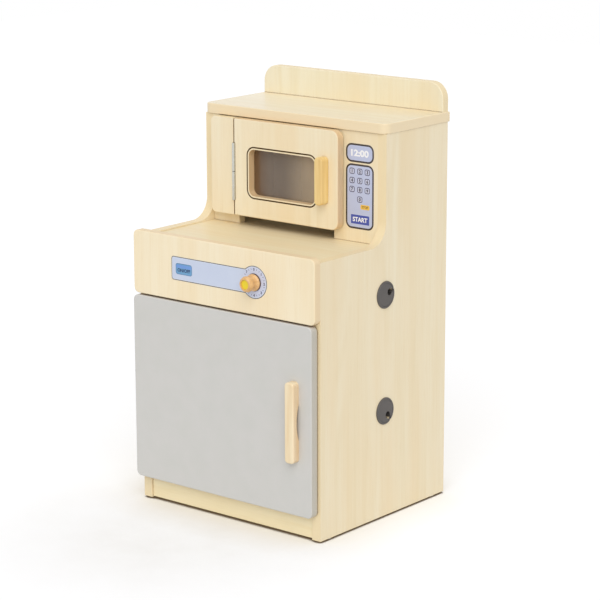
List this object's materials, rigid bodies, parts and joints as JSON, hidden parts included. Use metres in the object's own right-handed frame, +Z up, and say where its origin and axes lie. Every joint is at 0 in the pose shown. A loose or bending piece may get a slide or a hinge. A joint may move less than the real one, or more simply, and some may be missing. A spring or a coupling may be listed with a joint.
{
  "type": "play kitchen",
  "caption": "Wooden play kitchen: a stepped cabinet with a microwave oven on top, a worktop, a turning dial, a cupboard with a grey door, and cable grommets in its side.",
  "frame": {"origin": "on the floor, below the middle of the whole object", "axes": "+Z up, +X to the right as seen from the front, +Y to the back, so the doors and the dial face -Y"},
  "size_m": [0.4182, 0.4014, 0.752],
  "materials": {
    "maple_board": "pale maple grain, satin",
    "grey_board": "plain light grey, satin",
    "pale_wood": "pale solid wood, satin lacquer",
    "honey_wood": "honey coloured solid wood, satin lacquer",
    "tan_wood": "turned solid wood, satin lacquer",
    "yellow_plastic": "smooth",
    "printed_label": "smooth printed film",
    "grey_plastic": "fine moulded texture",
    "white_plastic": "moulded",
    "smoked_pane": "clear, slightly smoked",
    "steel": "zinc plated",
    "magnet_iron": "dark",
    "clear_rubber": "soft"
  },
  "bodies": {
    "cabinet": {"back_panel": "maple_board", "back_panel_screws": "steel", "bottom_board": "maple_board", "cabinet_dowels": "pale_wood", "catch_screws": "steel", "clock_label": "printed_label", "control_board": "maple_board", "cupboard_catch_body": "white_plastic", "cupboard_catch_magnet": "magnet_iron", "cupboard_hinge_fixed_leaves": "steel", "cupboard_hinge_fixed_screws": "steel", "cupboard_hinge_washers": "steel", "cupboard_shelf": "maple_board", "dial_washer": "steel", "fascia_board": "maple_board", "fascia_label": "printed_label", "floor_glides": "white_plastic", "hinge_strip": "maple_board", "hinge_strip_screws": "steel", "keypad_label": "printed_label", "left_post": "maple_board", "lower_grommet_liner": "grey_plastic", "microwave_catch_body": "white_plastic", "microwave_catch_magnet": "magnet_iron", "microwave_hinge_fixed_leaf": "steel", "microwave_hinge_fixed_screws": "steel", "microwave_hinge_washer": "steel", "shelf_pins": "steel", "side_panel_left": "maple_board", "side_panel_right": "maple_board", "splash_board": "maple_board", "toe_board": "maple_board", "top_board": "maple_board", "upper_grommet_liner": "grey_plastic", "worktop": "maple_board"},
    "microwave_door": {"microwave_door_panel": "maple_board", "window_pane": "smoked_pane", "window_pane_screws": "steel", "microwave_handle": "honey_wood", "microwave_handle_screws": "steel", "microwave_hinge_door_leaf": "steel", "microwave_hinge_door_screws": "steel", "microwave_strike_plate": "steel", "microwave_strike_screw": "steel", "microwave_door_bumpers": "clear_rubber"},
    "cupboard_door": {"cupboard_door_panel": "grey_board", "cupboard_handle": "pale_wood", "cupboard_handle_screws": "steel", "cupboard_hinge_door_leaves": "steel", "cupboard_hinge_door_screws": "steel", "cupboard_strike_plate": "steel", "cupboard_strike_screw": "steel", "cupboard_door_bumpers": "clear_rubber"},
    "dial": {"dial_knob": "tan_wood", "dial_dot": "yellow_plastic", "dial_screw": "steel"},
    "upper_cap": {"upper_grommet_cap": "grey_plastic"},
    "lower_cap": {"lower_grommet_cap": "grey_plastic"}
  },
  "joints": [
    {"name": "microwave_door_hinge", "type": "hinge", "parent": "cabinet", "child": "microwave_door", "pos_m": [-0.11945, -0.0007, 0.5852], "axis": [0, 0, -1], "range_deg": [0, 180]},
    {"name": "cupboard_door_hinge", "type": "hinge", "parent": "cabinet", "child": "cupboard_door", "pos_m": [-0.2065, -0.16175, 0.2135], "axis": [0, 0, -1], "range_deg": [0, 180]},
    {"name": "dial_turn", "type": "hinge", "parent": "cabinet", "child": "dial", "pos_m": [0.0752, -0.1755, 0.441], "axis": [0, -1, 0], "continuous": true},
    {"name": "upper_cap_turn", "type": "hinge", "parent": "cabinet", "child": "upper_cap", "pos_m": [0.2066, 0.0185, 0.403], "axis": [1, 0, 0], "continuous": true},
    {"name": "lower_cap_turn", "type": "hinge", "parent": "cabinet", "child": "lower_cap", "pos_m": [0.2066, 0.0185, 0.195], "axis": [1, 0, 0], "continuous": true}
  ]
}
